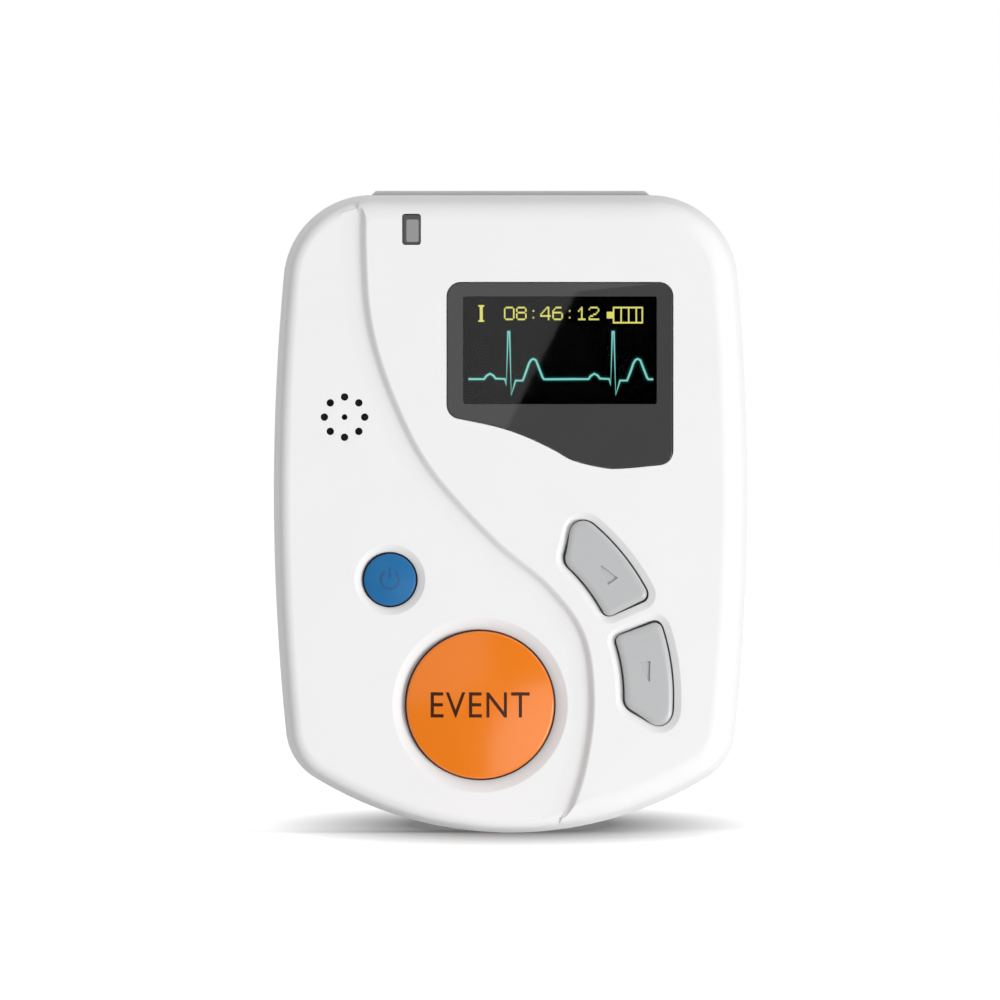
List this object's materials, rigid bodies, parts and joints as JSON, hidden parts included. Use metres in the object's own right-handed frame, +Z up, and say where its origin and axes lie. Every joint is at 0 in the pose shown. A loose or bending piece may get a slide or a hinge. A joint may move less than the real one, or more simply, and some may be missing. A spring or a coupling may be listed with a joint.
{
  "type": "holter monitor",
  "caption": "Pocket heart-trace recorder: white moulded case with an S-shaped step, small display, round and arrow-key buttons, a lead socket on top and a hinged battery door.",
  "frame": {"origin": "under the middle of the curved lower edge, at the centre of the depth", "axes": "+Z up towards the lead socket, -Y out of the front cover towards the reader, +X to the reader's right"},
  "size_m": [0.07, 0.0256, 0.095],
  "materials": {
    "white_case": "fine satin moulded ABS",
    "window": "polished tinted acrylic, printed behind",
    "foam": "matt closed-cell foam",
    "display": "polished glass-like module",
    "lens": "smoky moulded light pipe",
    "orange": "glossy moulded orange plastic",
    "blue": "satin moulded blue plastic",
    "grey_key": "satin moulded grey plastic",
    "grey_socket": "matt moulded grey plastic",
    "black_plastic": "matt moulded black plastic",
    "board": "green solder mask on glass laminate",
    "flex": "amber polyimide film",
    "led": "milky lens",
    "nickel": "nickel-plated spring steel",
    "steel": "zinc-plated steel",
    "cell": "plain printed film over a steel can"
  },
  "bodies": {
    "case": {"front_cover": "white_case", "rear_cover": "white_case", "display_window": "window", "window_gasket": "foam", "display_panel": "display", "display_carrier": "black_plastic", "display_flex": "flex", "indicator_lens": "lens", "indicator_led": "led", "buzzer": "black_plastic", "main_board": "board", "socket_shroud": "grey_socket", "socket_insulator": "black_plastic", "event_switch": "black_plastic", "power_switch": "black_plastic", "up_switch": "black_plastic", "down_switch": "black_plastic", "battery_cell_lower": "cell", "battery_cell_upper": "cell", "battery_bridge": "nickel", "battery_spring": "nickel", "battery_plate": "nickel", "processor_chip": "black_plastic", "memory_chip": "black_plastic", "clock_crystal": "nickel", "amplifier_chip": "black_plastic", "case_screw_upper_left": "steel", "case_screw_upper_right": "steel", "case_screw_lower_left": "steel", "case_screw_lower_right": "steel"},
    "event_key": {"event_button": "orange", "event_plunger": "black_plastic"},
    "power_key": {"power_button": "blue", "power_plunger": "black_plastic"},
    "up_key": {"up_button": "grey_key", "up_plunger": "black_plastic"},
    "down_key": {"down_button": "grey_key", "down_plunger": "black_plastic"},
    "door": {"battery_door": "white_case"}
  },
  "joints": [
    {"name": "event_press", "type": "slide", "parent": "case", "child": "event_key", "axis": [0, 1, 0], "range_m": [0, 0.0005], "stiffness_N_per_m": 400, "springref_m": -0.002},
    {"name": "power_press", "type": "slide", "parent": "case", "child": "power_key", "axis": [0, 1, 0], "range_m": [0, 0.0005], "stiffness_N_per_m": 400, "springref_m": -0.002},
    {"name": "up_press", "type": "slide", "parent": "case", "child": "up_key", "axis": [0, 1, 0], "range_m": [0, 0.0005], "stiffness_N_per_m": 400, "springref_m": -0.002},
    {"name": "down_press", "type": "slide", "parent": "case", "child": "down_key", "axis": [0, 1, 0], "range_m": [0, 0.0005], "stiffness_N_per_m": 400, "springref_m": -0.002},
    {"name": "door_hinge", "type": "hinge", "parent": "case", "child": "door", "pos_m": [0, 0.0128, 0.0233], "axis": [-1, 0, 0], "range_deg": [0, 40]}
  ]
}
